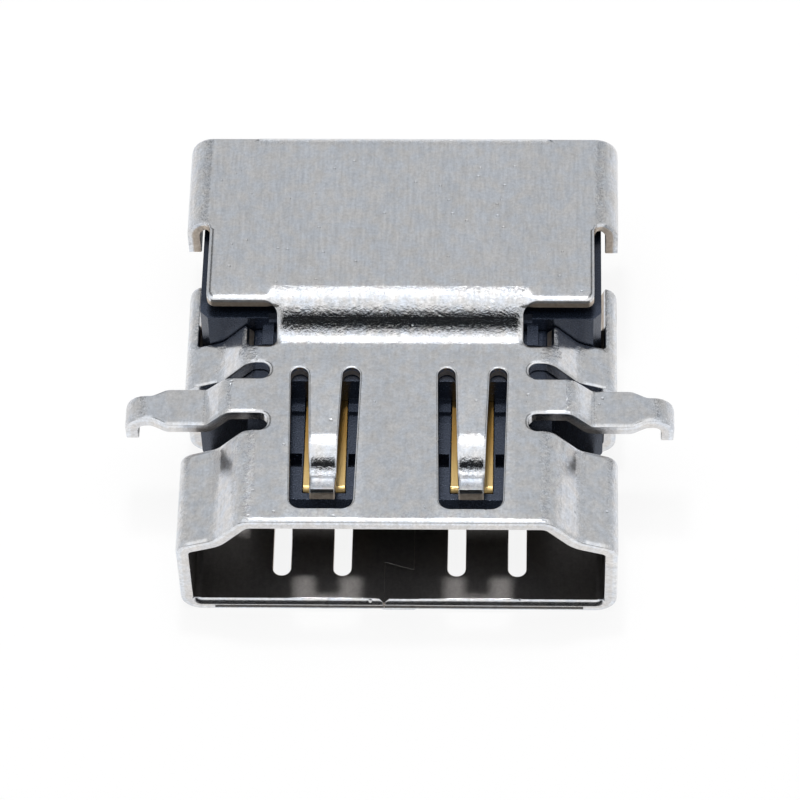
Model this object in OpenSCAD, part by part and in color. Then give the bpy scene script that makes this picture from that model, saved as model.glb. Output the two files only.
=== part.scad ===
// Digital video socket with nineteen contacts, sunk into the edge of its board.
// A nickel-plated sheet is folded into the mouth, the two wings that sit on the board, the spring
// fingers and the raised cover at the back. A moulded housing carries two rows of contacts, whose
// tails leave at the back in one row.
// X runs across the mouth, Y from the mouth to the tails, Z up. Every depth is counted from the
// mouth and every height from the underside.

/* [Sheet and mouth] */
// Thickness of the shell's sheet
sheet_t = 0.45; // [0.35:0.01:0.5]
// Clear width of the mouth
mouth_w = 14; // [13.6:0.05:15]
// Clear height of the mouth
mouth_h = 4.55; // [4.4:0.05:5]
// Width of the narrow flat over the mouth, between its sharp corners
mouth_flat_w = 9.96; // [9.8:0.02:10.4]
// Height of the straight side walls inside the mouth
side_h = 3.05; // [2.8:0.05:3.2]
// Fall of the steep part beside the narrow flat, in degrees
steep_deg = 50; // [45:1:58]
// Fall of the shoulder outside the steep part, in degrees
shoulder_deg = 20; // [12:1:26]
// Bend radius beside the narrow flat, to the middle of the sheet
flat_bend_r = 0.5; // [0.3:0.05:0.6]
// Bend radius in the valley between steep part and shoulder
valley_bend_r = 1; // [0.6:0.05:1.2]
// Bend radius between shoulder and side wall
shoulder_bend_r = 0.38; // [0.3:0.02:0.5]
// Bend radius between side wall and floor
floor_bend_r = 0.53; // [0.35:0.02:0.7]

/* [Lengths of the tube] */
// Length of the closed front part, from the mouth
front_len = 3.73; // [3.4:0.05:4.2]
// Opening between the front part and a wing
wing_gap_front = 0.7; // [0.6:0.02:1]
// Width of a wing at its root
wing_root_w = 1.44; // [1.1:0.02:1.5]
// Opening between a wing and the rear part
wing_gap_rear = 0.65; // [0.5:0.05:0.9]
// Length of the rear part of the tube
rear_len = 1.68; // [1.4:0.02:2]
// Length of the side walls and floor behind the tube
arm_len = 2.6; // [2.2:0.1:3.2]
// Height of the side walls behind the tube
arm_h = 3.85; // [3.2:0.05:4]
// Half width of the floor left between the wing openings
floor_edge_x = 6.7; // [6.4:0.05:6.9]

/* [Wings] */
// Distance from the middle to the root of a wing
wing_root_x = 4.4; // [4.3:0.05:4.6]
// Rounding of the openings at the root of a wing
wing_root_r = 0.3; // [0.1:0.02:0.34]
// Where the wing starts to fall, at its sharp bend
wing_fall_x = 5.8; // [5.65:0.05:6]
// Run of the fall, between its sharp bends
wing_fall_run = 0.7; // [0.55:0.05:0.9]
// Height of the fall
wing_fall = 0.75; // [0.6:0.05:0.9]
// Bend radius of the fall, to the middle of the sheet
wing_bend_r = 0.4; // [0.28:0.02:0.45]
// Width of the flat of a wing
wing_w = 1.48; // [1.3:0.02:1.6]
// Where the flat of a wing narrows to its leg
wing_neck_x = 7.92; // [7.7:0.02:8.2]
// Width of a leg
leg_w = 0.97; // [0.7:0.01:1.15]
// Distance between the outer faces of the legs
leg_span = 18.74; // [18.3:0.02:19.6]
// Bend radius of a leg, to the middle of the sheet
leg_bend_r = 0.5; // [0.3:0.02:0.55]
// Reach of a leg below the board seat
leg_len = 0.78; // [0.5:0.02:1.2]

/* [Top fingers] */
// Distance from the middle to a top finger
top_finger_x = 2.5; // [2.4:0.05:2.6]
// Solid lip between the mouth and a finger's window
lip_len = 0.55; // [0.4:0.05:0.8]
// Length of a window
window_len = 5.75; // [5.4:0.05:5.9]
// Width of a window at its rear end
window_rear_w = 2.38; // [2.3:0.02:2.5]
// Width of a window at its front end
window_front_w = 2.14; // [2:0.02:2.3]
// Rounding of a window's front corners
window_corner_r = 0.4; // [0.2:0.05:0.5]
// Width of a top finger at its root
finger_root_w = 1.17; // [1.1:0.01:1.2]
// Width of a top finger at its tip
finger_tip_w = 0.85; // [0.75:0.01:1]
// Straight length of a top finger before it dips
finger_flat = 2.87; // [2.7:0.05:3]
// Depth of the dip
finger_dip = 0.59; // [0.5:0.01:0.65]
// Length of the rising tip
finger_tip_len = 0.6; // [0.4:0.05:0.7]

/* [Floor fingers] */
// Distance from the middle to a floor finger
floor_finger_x = 3; // [2.9:0.05:3.1]
// Width of a floor finger
floor_finger_w = 1.46; // [1.3:0.02:1.6]
// Width of the slots beside a floor finger
floor_slot_w = 0.62; // [0.5:0.02:0.7]
// Solid floor between the mouth and the slots
floor_lip_len = 1.1; // [0.9:0.05:1.3]
// Length of the slots
floor_slot_len = 4.1; // [3.9:0.05:4.3]
// Straight length of a floor finger before it rises
floor_finger_flat = 1.5; // [1.3:0.05:1.6]
// Height of the rise
floor_finger_rise = 0.59; // [0.5:0.01:0.65]
// Length of the falling tip
floor_finger_tip = 0.6; // [0.4:0.05:0.7]

/* [Bends of the fingers] */
// Steepest part of every finger, in degrees
finger_deg = 45; // [40:1:48]
// Turn of every finger's tip, in degrees
finger_tip_deg = 22; // [10:1:26]
// Bend radius where a finger leaves its sheet, to the middle of the sheet
finger_bend_r = 0.78; // [0.6:0.02:0.85]
// Bend radius in the trough of a finger, to the middle of the sheet
finger_trough_r = 0.62; // [0.5:0.02:0.65]

/* [Floor seam] */
// Distance of the seam from the middle, to either side
seam_x = 0.5; // [0.3:0.05:0.8]
// Straight stretch of the seam from the mouth
seam_front = 1.65; // [1.2:0.05:2]
// Length of the dovetail at its neck
seam_neck = 1.4; // [1:0.05:1.8]
// How much the dovetail widens on each side
seam_flare = 0.3; // [0.1:0.02:0.4]
// Width of the seam
seam_gap = 0.05; // [0.03:0.01:0.1]

/* [Cover] */
// Height of the cover above the tube
cover_rise = 1.02; // [0.9:0.02:1.15]
// Depth from the rear end of the tube to the cover's front edge
cover_gap = 0.22; // [0.1:0.02:0.4]
// Length of the cover
cover_len = 7; // [6.4:0.1:8]
// Width of the front of the cover
cover_front_w = 13.26; // [12.8:0.02:13.4]
// Rounding of the cover's front corners
cover_corner_r = 0.3; // [0.1:0.05:0.5]
// Length of the side flanges, from the cover's rear edge
flange_len = 3.68; // [3:0.02:4]
// Height of the side flanges, from the cover's top
flange_h = 1.84; // [1.4:0.02:2]
// Distance between the outer faces of the flanges
flange_span = 14.96; // [14.8:0.02:15.2]
// Bend radius of the flanges, to the middle of the sheet
flange_bend_r = 0.6; // [0.3:0.02:0.64]
// Rounding between cover and flange
flange_root_r = 0.33; // [0.1:0.02:0.36]
// Width of the flap down the rear
flap_w = 10; // [9:0.1:10.6]
// Height of the flap, from the cover's top
flap_h = 1.5; // [1.2:0.02:1.6]
// Distance from the cover's rear edge to the outer face of the flap
flap_reach = 0.28; // [0.15:0.01:0.4]
// Bend radius of the flap, to the middle of the sheet
flap_bend_r = 0.37; // [0.3:0.01:0.5]

/* [Bridge] */
// Half width of the bridge between tube and cover
bridge_half = 4.21; // [4:0.01:4.3]
// Width of the relief beside the bridge
relief_w = 0.97; // [0.85:0.01:1]
// Depth of the relief, from the rear end of the tube
relief_len = 0.94; // [0.8:0.02:1.1]
// Rounding of the relief
relief_r = 0.28; // [0.1:0.02:0.35]
// Steepest part of the bridge, in degrees
bridge_deg = 59; // [55:1:63]
// Share of the two bridge radii that the upper bend has
bridge_upper_share = 0.58; // [0.5:0.02:0.66]

/* [Housing] */
// Depth of the mouth, to the housing's front wall
cavity_len = 6.06; // [5.95:0.02:6.2]
// Clearance between housing and shell
fit = 0.03; // [0.02:0.005:0.05]
// Clearance between the block and the flanges
block_side_gap = 0.15; // [0.05:0.01:0.2]
// Length of the block's lower part behind the tube
foot_len = 1.1; // [0.9:0.05:1.4]
// Distance from the block's rear face to the cover's rear edge
block_inset = 0.25; // [0.22:0.01:0.6]
// Chamfer of the block's front corners
block_chamfer = 0.27; // [0.1:0.01:0.35]
// Depth of the block's ledge under the cover
ledge_drop = 0.39; // [0.3:0.01:0.5]
// Width of the ledge under the edges of the cover
ledge_w = 0.35; // [0.2:0.05:0.6]
// Width of the rails that stand on the board
rail_w = 1.5; // [1.2:0.05:1.55]
// Gap between the rails and the board
rail_gap = 0.05; // [0.02:0.01:0.1]
// Gap between the bridge and the rib in the relief beside it
rib_side_gap = 0.13; // [0.1:0.01:0.25]
// Width of a rib
rib_w = 0.38; // [0.3:0.02:0.4]
// Distance from the front of the relief to a rib
rib_gap = 0.1; // [0.08:0.01:0.2]
// Depth of the ribs' tops below the tube's top
rib_drop = 0.15; // [0.02:0.01:0.2]

/* [Tongue] */
// Width of the tongue
tongue_w = 10.4; // [10:0.05:11]
// Depth from the mouth to the tongue's nose
tongue_inset = 1.75; // [1.6:0.05:1.9]
// Distance from the upper contact faces to the tube's top
upper_face_drop = 1.65; // [1.6:0.02:1.75]
// Distance between the upper and the lower contact faces
face_span = 1.85; // [1.7:0.05:2]
// How far the contact faces stand proud of the tongue
contact_proud = 0.05; // [0.02:0.01:0.08]
// Chamfer of the nose, along the tongue
nose_len = 0.28; // [0.15:0.01:0.4]
// Chamfer of the nose, across the tongue
nose_drop = 0.4; // [0.2:0.02:0.5]
// Length of the comb at the tongue's root
comb_len = 0.55; // [0.4:0.05:0.7]
// Height of the comb
comb_h = 0.2; // [0.1:0.02:0.25]
// Depth from the mouth to the row of pits
pit_inset = 3.36; // [3.2:0.02:3.6]
// Length of a pit
pit_len = 0.54; // [0.4:0.02:0.7]
// Width of a pit
pit_w = 0.42; // [0.3:0.02:0.5]
// Depth of a pit
pit_depth = 0.7; // [0.4:0.05:0.9]

/* [Contacts] */
// Number of contacts
contact_count = 19; // [17:2:19]
// Pitch of the tails, half the pitch of a row
tail_pitch = 0.5; // [0.48:0.01:0.52]
// Thickness of a contact
contact_t = 0.2; // [0.15:0.01:0.22]
// Width of a contact on the tongue
contact_w = 0.45; // [0.4:0.01:0.48]
// Width of a tail
tail_w = 0.25; // [0.2:0.01:0.28]
// Depth from the mouth to the front of the contacts
contact_inset = 2.3; // [2.15:0.05:2.5]
// Length of the hook at the front of a contact
hook_len = 0.35; // [0.28:0.01:0.45]
// Clearance round a contact
contact_fit = 0.02; // [0.01:0.005:0.03]
// Bend radius of the hook, to the middle of the contact
hook_r = 0.16; // [0.12:0.01:0.2]
// Bend radius of a contact behind the housing, to its middle
rise_r = 0.3; // [0.2:0.02:0.35]
// Distance from the housing's foot to the start of the upper row's rise
rise_gap = 0.25; // [0.2:0.02:0.35]
// Run of the upper row's rise
rise_run = 0.55; // [0.45:0.02:0.65]
// Reach of the tails behind the cover
tail_reach = 0.88; // [0.6:0.02:1.3]

/* [Tail spacer] */
// Length of the tail spacer
spacer_len = 1.6; // [1.2:0.05:2]
// Height of the spacer's back above the tails
spacer_back = 0.5; // [0.35:0.02:0.7]
// Gap between the spacer and the board
spacer_gap = 0.04; // [0.02:0.01:0.08]

/* [Hidden] */
arc_steps = 7;
// How far a cutting shape runs past what it cuts, also where it may only cut one sheet
past = 1;
past_sheet = 0.5;
// How far joined shapes run into each other
join = 0.1;
// Share of the full round that a corner beside a slot takes, so that two rounds never meet
round_share = 0.95;

tube_h = mouth_h + 2 * sheet_t;
top_mid = tube_h - sheet_t / 2;
floor_top = sheet_t;
wing_front_y = front_len + wing_gap_front;
wing_rear_y = wing_front_y + wing_root_w;
wing_mid_y = wing_front_y + wing_root_w / 2;
side_open_y = wing_rear_y + wing_gap_rear;
tube_len = side_open_y + rear_len;
arm_end = tube_len + arm_len;
wing_mid = top_mid - wing_fall;
board_z = wing_mid - sheet_t / 2;
leg_mid_x = leg_span / 2 - sheet_t / 2;

cover_front = tube_len + cover_gap;
cover_rear = cover_front + cover_len;
cover_top = tube_h + cover_rise;
cover_mid = cover_top - sheet_t / 2;
flange_mid_x = flange_span / 2 - sheet_t / 2;
flange_front = cover_rear - flange_len;
flap_mid_y = cover_rear + flap_reach - sheet_t / 2;
flap_start = flap_mid_y - flap_bend_r;
relief_y = tube_len - relief_len;
relief_x = bridge_half + relief_w;
bridge_r_sum = cover_rise / (1 - cos(bridge_deg));
bridge_upper_r = bridge_upper_share * bridge_r_sum - sheet_t / 2;
bridge_lower_r = (1 - bridge_upper_share) * bridge_r_sum + sheet_t / 2;
bridge_end_y = relief_y + bridge_r_sum * sin(bridge_deg);

block_half = flange_span / 2 - sheet_t - block_side_gap;
block_front = tube_len + fit;
block_rear = cover_rear - block_inset;
block_top = cover_top - sheet_t - fit;
ledge_top = cover_top - sheet_t - ledge_drop;
pad_half = cover_front_w / 2 - ledge_w;
foot_rear = tube_len + foot_len;
upper_face = tube_h - upper_face_drop;
lower_face = upper_face - face_span;
upper_mid = upper_face - contact_t / 2;
lower_mid = lower_face + contact_t / 2;
tongue_top = upper_face - contact_proud;
tongue_bottom = lower_face + contact_proud;
tail_mid = board_z + contact_t / 2;
tail_end = cover_rear + tail_reach;
rise_y = foot_rear + rise_gap;
block_under = board_z + contact_t + contact_fit;
pocket_top = block_under + spacer_back + fit;
pocket_front = block_rear - spacer_len - fit;
rail_x = block_half - rail_w;
overall_depth = tail_end;

metal = [0.76, 0.77, 0.79];
moulding = [0.13, 0.14, 0.17];
comb_colour = [0.2, 0.21, 0.24];
gold = [0.83, 0.66, 0.32];

function contact_name(i) = str("contact_", i < 10 ? "0" : "", i);

// Lines with rounded corners. A sample of a line is a place and the normal on its left.

function unit(v) = v / norm(v);
function normal_of(heading) = [-sin(heading), cos(heading)];
function heading_of(v) = atan2(v.y, v.x);

// The samples round the corner b, on the way from a to c
function corner(a, b, c, r) =
    let (d1 = unit(b - a), d2 = unit(c - b), heading = heading_of(d1))
    r == 0 ? [[b, normal_of(heading)]] :
    let (turn = cross(d1, d2) < 0 ? -1 : 1,
         angle = acos(d1 * d2),
         middle = b - d1 * r * tan(angle / 2) + turn * r * normal_of(heading))
    [for (k = [0 : arc_steps])
        let (n = normal_of(heading + turn * angle * k / arc_steps)) [middle - turn * r * n, n]];

function open_line(points, radii) =
    let (n = len(points))
    concat([[points[0], normal_of(heading_of(points[1] - points[0]))]],
           [for (i = [1 : n - 2]) each corner(points[i - 1], points[i], points[i + 1], radii[i - 1])],
           [[points[n - 1], normal_of(heading_of(points[n - 1] - points[n - 2]))]]);

function closed_line(points, radii) =
    let (n = len(points))
    [for (i = [0 : n - 1])
        each corner(points[(i + n - 1) % n], points[i], points[(i + 1) % n], radii[i])];

function beside(line, d) = [for (s = line) s[0] + d * s[1]];
function reversed(list) = [for (i = [len(list) - 1 : -1 : 0]) list[i]];
function mirrored(points) = [for (p = reversed(points)) [-p.x, p.y]];

// Sharp corners of a closed counter-clockwise outline moved outwards by d
function grown(points, d) =
    let (n = len(points))
    [for (i = [0 : n - 1])
        let (n1 = normal_of(heading_of(points[i] - points[(i + n - 1) % n])),
             n2 = normal_of(heading_of(points[(i + 1) % n] - points[i])))
        points[i] - d * (n1 + n2) / (1 + n1 * n2)];

module strip(line, t) polygon(concat(beside(line, t / 2), reversed(beside(line, -t / 2))));
module outline(points, radii) polygon(beside(closed_line(points, radii), 0));

// Profiles carried along one axis
module along_x(x0, x1) translate([x0, 0, 0]) rotate([90, 0, 90]) linear_extrude(x1 - x0) children();
module along_y(y0, y1) translate([0, y1, 0]) rotate([90, 0, 0]) linear_extrude(y1 - y0) children();
module along_z(z0, z1) translate([0, 0, z0]) linear_extrude(z1 - z0) children();
module both_sides() {
    children();
    mirror([1, 0, 0]) children();
}
module from_mouth() translate([0, -overall_depth / 2, 0]) children();

// The mouth's section, as sharp inner corners from the lower left, and the line of its mid sheet
flat_corner = [mouth_flat_w / 2, floor_top + mouth_h];
side_corner = [mouth_w / 2, floor_top + side_h];
steep_run = ((side_corner.x - flat_corner.x) * sin(shoulder_deg)
    - (flat_corner.y - side_corner.y) * cos(shoulder_deg)) / sin(shoulder_deg - steep_deg);
valley_corner = flat_corner + steep_run * [cos(steep_deg), -sin(steep_deg)];
mouth_right = [[mouth_w / 2, floor_top], side_corner, valley_corner, flat_corner];
mouth_corners = concat(mouth_right, mirrored(mouth_right));
right_radii = [floor_bend_r, shoulder_bend_r, valley_bend_r, flat_bend_r];
mouth_line = closed_line(grown(mouth_corners, sheet_t / 2), concat(right_radii, reversed(right_radii)));

module sheet_ring() difference() {
    polygon(beside(mouth_line, -sheet_t / 2));
    polygon(beside(mouth_line, sheet_t / 2));
}

// Openings round the wing roots: the side walls go, and two slots run in beside each root
module wing_opening() {
    reach = leg_span / 2 + past;
    front_r = min(wing_root_r, wing_gap_front / 2 * round_share);
    rear_r = min(wing_root_r, wing_gap_rear / 2 * round_share);
    root_end = wing_root_x + wing_root_r + join;
    along_z(floor_top + mouth_h / 2, tube_h + past)
        outline([[reach, front_len], [reach, side_open_y], [wing_root_x, side_open_y],
                 [wing_root_x, wing_rear_y], [root_end, wing_rear_y],
                 [root_end, wing_front_y], [wing_root_x, wing_front_y], [wing_root_x, front_len]],
                [0, 0, rear_r, rear_r, 0, 0, front_r, front_r]);
    translate([floor_edge_x, front_len, -past])
        cube([reach, side_open_y - front_len, tube_h]);
}

// A wing falls from the narrow flat to the board, runs out level and ends in a leg
wing_line = open_line([[wing_root_x - wing_root_r, top_mid], [wing_fall_x, top_mid],
                       [wing_fall_x + wing_fall_run, wing_mid], [leg_mid_x, wing_mid],
                       [leg_mid_x, board_z - leg_len]],
                      [wing_bend_r, wing_bend_r, leg_bend_r]);

// Front edge of a wing in plan, counted from the middle of its width
wing_edge = [[0, -wing_root_w / 2], [wing_fall_x, -wing_root_w / 2],
             [wing_fall_x + wing_fall_run, -wing_w / 2], [wing_neck_x, -wing_w / 2],
             [wing_neck_x + wing_w - leg_w, -leg_w / 2], [leg_span, -leg_w / 2]];
wing_edge_r = [0, wing_root_w, wing_root_w, leg_w / 2, leg_w / 2, 0];

module wing() intersection() {
    along_y(0, tube_len) strip(wing_line, sheet_t);
    along_z(0, tube_h + past) translate([0, wing_mid_y])
        outline(concat(wing_edge, reversed([for (p = wing_edge) [p.x, -p.y]])),
                concat(wing_edge_r, reversed(wing_edge_r)));
}

// A finger lies flat, bends by finger_deg into its dip and turns its tip back out of it.
// It starts at a depth, runs in the given direction and leaves the sheet's mid plane by dip.
function finger_line(root, direction, flat, dip, tip, mid) =
    let (lean = dip < 0 ? -1 : 1,
         arcs = (finger_bend_r + finger_trough_r) * (1 - cos(finger_deg)),
         straight = (abs(dip) - arcs) / sin(finger_deg),
         first = finger_bend_r * tan(finger_deg / 2),
         second = finger_trough_r * tan((finger_deg + finger_tip_deg) / 2),
         bend = [flat + first, 0],
         low = bend + (first + straight + second) * [cos(finger_deg), sin(finger_deg)],
         far = low + (second + tip) * [cos(finger_tip_deg), -sin(finger_tip_deg)])
    open_line([for (p = [[-sheet_t, 0], bend, low, far]) [root + direction * p.x, mid + lean * p.y]],
              [finger_bend_r, finger_trough_r]);

// Half outline of a finger with a round at its root, for both kinds
module finger_plan(root, direction, root_w, tip_w, length, round_r) {
    wide = root_w / 2 + round_r + sheet_t / 2;
    right = [[tip_w / 2, root + direction * length], [root_w / 2, root], [wide, root],
             [wide, root - direction * sheet_t]];
    radii = [0, round_r, 0, 0];
    outline(concat(right, mirrored(right)), concat(radii, reversed(radii)));
}

window_rear = lip_len + window_len;
slot_r = (window_rear_w - finger_root_w) / 4;

module top_window() along_z(top_mid - past, tube_h + past) translate([top_finger_x, 0])
    outline([[window_front_w / 2, lip_len], [window_rear_w / 2, window_rear],
             [-window_rear_w / 2, window_rear], [-window_front_w / 2, lip_len]],
            [window_corner_r, slot_r, slot_r, window_corner_r]);

module top_finger() translate([top_finger_x, 0, 0]) intersection() {
    along_x(-window_rear_w, window_rear_w)
        strip(finger_line(window_rear, -1, finger_flat, -finger_dip, finger_tip_len, top_mid), sheet_t);
    along_z(0, tube_h + past)
        finger_plan(window_rear, -1, finger_root_w, finger_tip_w, window_len, slot_r);
}

floor_slot_rear = floor_lip_len + floor_slot_len;
floor_slot_r = floor_slot_w / 2;
floor_window_half = floor_finger_w / 2 + floor_slot_w;

module floor_window() along_z(-past, floor_top + past_sheet) translate([floor_finger_x, 0])
    outline([[floor_window_half, floor_lip_len], [floor_window_half, floor_slot_rear],
             [-floor_window_half, floor_slot_rear], [-floor_window_half, floor_lip_len]],
            [floor_slot_r, floor_slot_r, floor_slot_r, floor_slot_r]);

module floor_finger() translate([floor_finger_x, 0, 0]) intersection() {
    along_x(-floor_window_half, floor_window_half)
        strip(finger_line(floor_lip_len, 1, floor_finger_flat, floor_finger_rise, floor_finger_tip,
                          sheet_t / 2), sheet_t);
    along_z(-past, tube_h)
        finger_plan(floor_lip_len, 1, floor_finger_w, floor_finger_w, floor_slot_len,
                    floor_slot_r * round_share);
}

// The blank's two edges meet in the floor along a seam with one dovetail
module seam() {
    neck_end = seam_front + seam_neck;
    route = [[-seam_x, -past], [-seam_x, seam_front], [seam_x, seam_front - seam_flare],
             [seam_x, neck_end + seam_flare], [-seam_x, neck_end], [-seam_x, arm_end + past]];
    bend_r = seam_gap;
    along_z(-past, floor_top + past_sheet)
        strip(open_line(route, [bend_r, bend_r, bend_r, bend_r]), seam_gap);
}

module tube() difference() {
    along_y(0, arm_end) sheet_ring();
    translate([-mouth_w, tube_len, arm_h]) cube([2 * mouth_w, arm_len + past, tube_h]);
    along_z(top_mid - past_sheet, tube_h + past)
        outline([[relief_x, relief_y], [relief_x, tube_len + past],
                 [-relief_x, tube_len + past], [-relief_x, relief_y]],
                [relief_r, 0, 0, relief_r]);
    both_sides() {
        wing_opening();
        top_window();
        floor_window();
    }
    seam();
}

// The bridge climbs from the tube to the cover in two bends
bridge_line = open_line([[relief_y - relief_r - sheet_t, top_mid],
                         [relief_y + bridge_lower_r * tan(bridge_deg / 2), top_mid],
                         [bridge_end_y - bridge_upper_r * tan(bridge_deg / 2), cover_mid],
                         [bridge_end_y + sheet_t, cover_mid]],
                        [bridge_lower_r, bridge_upper_r]);

module bridge() {
    edge_r = relief_r * round_share;
    right = [[bridge_half + relief_r + edge_r, relief_y - relief_r], [bridge_half + relief_r, relief_y],
             [bridge_half, relief_y], [bridge_half, cover_front], [bridge_half + relief_r, cover_front],
             [bridge_half + relief_r, bridge_end_y + past]];
    radii = [0, 0, edge_r, edge_r, 0, 0];
    intersection() {
        along_x(-relief_x, relief_x) strip(bridge_line, sheet_t);
        along_z(0, cover_top + past) outline(concat(right, mirrored(right)), concat(radii, reversed(radii)));
    }
}

// The cover is flat at its front and has a flange down each side at its rear
cover_line = open_line([[flange_mid_x, cover_top - flange_h], [flange_mid_x, cover_mid],
                        [-flange_mid_x, cover_mid], [-flange_mid_x, cover_top - flange_h]],
                       [flange_bend_r, flange_bend_r]);

module cover() {
    right = [[cover_front_w / 2, cover_front], [cover_front_w / 2, flange_front], [flange_span, flange_front],
             [flange_span, cover_rear], [flap_w / 2, cover_rear], [flap_w / 2, flap_start]];
    radii = [cover_corner_r, flange_root_r, 0, 0, 0, 0];
    intersection() {
        along_y(cover_front, cover_rear) strip(cover_line, sheet_t);
        along_z(0, cover_top + past) outline(concat(right, mirrored(right)), concat(radii, reversed(radii)));
    }
}

// The flap folds down behind the block
flap_line = open_line([[flap_start - sheet_t, cover_mid], [flap_mid_y, cover_mid],
                       [flap_mid_y, cover_top - flap_h]], [flap_bend_r]);

module flap() along_x(-flap_w / 2, flap_w / 2) strip(flap_line, sheet_t);

module shell() color(metal) from_mouth() {
    tube();
    both_sides() {
        wing();
        top_finger();
        floor_finger();
    }
    bridge();
    cover();
    flap();
}

// Plan of the block from its chamfered front corners back to a depth
module block_plan(rear) {
    right = [[block_half, rear], [block_half, block_front + block_chamfer],
             [block_half - block_chamfer, block_front]];
    polygon(concat(right, mirrored(right)));
}

// The housing's body fills the rear of the tube, and its foot stands between the side walls behind it
module housing_body() {
    along_y(cavity_len, tube_len) polygon(beside(mouth_line, sheet_t / 2 + fit));
    along_y(tube_len, foot_rear) intersection() {
        polygon(beside(mouth_line, sheet_t / 2 + fit));
        translate([-mouth_w, 0]) square([2 * mouth_w, block_under + join]);
    }
    along_z(floor_top + side_h / 2, block_under + join) block_plan(foot_rear);
    both_sides() translate([bridge_half + rib_side_gap, relief_y + rib_gap, top_mid - sheet_t])
        cube([rib_w, block_front - relief_y - rib_gap, tube_h - rib_drop - top_mid + sheet_t]);
}

// The block under the cover, with a ledge along the cover's edges and a pocket for the tail spacer
module housing_block() difference() {
    union() {
        along_z(block_under, ledge_top) block_plan(block_rear);
        translate([-pad_half, cover_front + ledge_w, ledge_top - join])
            cube([2 * pad_half, block_rear - cover_front - ledge_w, block_top - ledge_top + join]);
    }
    along_z(0, pocket_top) translate([-rail_x, pocket_front]) square([2 * rail_x, spacer_len + past]);
    along_x(-bridge_half - relief_r - fit, bridge_half + relief_r + fit)
        polygon(concat(beside(bridge_line, -sheet_t / 2 - fit),
                       [[bridge_end_y + sheet_t, cover_top + past], [0, cover_top + past]]));
}

module housing_rails() both_sides()
    translate([rail_x, arm_end + fit, board_z + rail_gap])
        cube([rail_w, block_rear - arm_end - fit, block_under - board_z - rail_gap + join]);

module tongue() {
    along_x(-tongue_w / 2, tongue_w / 2)
        polygon([[tongue_inset, tongue_bottom + nose_drop], [tongue_inset + nose_len, tongue_bottom],
                 [cavity_len + past, tongue_bottom], [cavity_len + past, tongue_top],
                 [tongue_inset + nose_len, tongue_top], [tongue_inset, tongue_top - nose_drop]]);
    translate([-tongue_w / 2, cavity_len - comb_len, tongue_top])
        cube([tongue_w, comb_len + past, comb_h]);
}

// Room for one contact: a groove on the tongue, a tunnel through the body and a slot for the hook
module contact_room(face, outwards) {
    gap = contact_fit;
    half = contact_w / 2 + gap;
    inner = face - outwards * (contact_t + gap);
    hook = face - outwards * (hook_len + gap);
    outer = face + outwards * gap;
    comb = face + outwards * (comb_h + gap);
    hook_front = contact_inset - gap;
    hook_rear = contact_inset + contact_t + hook_r + gap;
    along_x(-half, half)
        polygon([[hook_front, comb], [hook_front, hook], [hook_rear, hook], [hook_rear, inner],
                 [foot_rear + past, inner], [foot_rear + past, outer],
                 [cavity_len, outer], [cavity_len, comb]]);
}

function contact_x(i) = (i - (contact_count + 1) / 2) * tail_pitch;
function is_upper(i) = i % 2 == 0;

module housing() color(moulding) from_mouth() difference() {
    union() {
        housing_body();
        housing_block();
        housing_rails();
        tongue();
    }
    for (i = [1 : contact_count]) translate([contact_x(i), 0, 0])
        if (is_upper(i)) contact_room(upper_face, 1);
        else contact_room(lower_face, -1);
    for (i = [3 : 2 : contact_count - 2])
        translate([contact_x(i) - pit_w / 2, pit_inset, tongue_top - pit_depth])
            cube([pit_w, pit_len, pit_depth + join]);
}

// The upper row rises to the board in a gentle joggle, the lower row climbs straight up behind the body
function upper_path() =
    [[contact_inset + contact_t / 2, upper_face - hook_len], [contact_inset + contact_t / 2, upper_mid],
     [rise_y, upper_mid], [rise_y + rise_run, tail_mid], [tail_end, tail_mid]];
function lower_path() =
    [[contact_inset + contact_t / 2, lower_face + hook_len], [contact_inset + contact_t / 2, lower_mid],
     [rise_y + rise_run, lower_mid], [rise_y + rise_run, tail_mid], [tail_end, tail_mid]];

module contact(i) {
    path = is_upper(i) ? upper_path() : lower_path();
    neck = (contact_w - tail_w) / 2;
    right = [[contact_w / 2, 0], [contact_w / 2, foot_rear - neck],
             [tail_w / 2, foot_rear], [tail_w / 2, tail_end + past]];
    color(gold) from_mouth() translate([contact_x(i), 0, 0]) intersection() {
        along_x(-contact_w, contact_w) strip(open_line(path, [hook_r, rise_r, rise_r]), contact_t);
        along_z(0, tube_h) polygon(concat(right, mirrored(right)));
    }
}

// The spacer sits in the block's pocket, and its teeth keep the tails apart
module tail_spacer() color(comb_colour) from_mouth() difference() {
    translate([-rail_x + fit, pocket_front + fit, board_z + spacer_gap])
        cube([2 * (rail_x - fit), spacer_len - fit, pocket_top - fit - board_z - spacer_gap]);
    for (i = [1 : contact_count])
        translate([contact_x(i) - tail_w / 2 - contact_fit, 0, 0])
            cube([tail_w + 2 * contact_fit, tail_end, block_under]);
}

shell();
housing();
tail_spacer();
for (i = [1 : contact_count]) contact(i);
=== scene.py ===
"""Looks of the digital video socket: plated folded shell, black moulding, gold contacts."""
import math

import bpy
import numpy as np
from mathutils import Matrix, Vector
from mathutils.geometry import delaunay_2d_cdt


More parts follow.
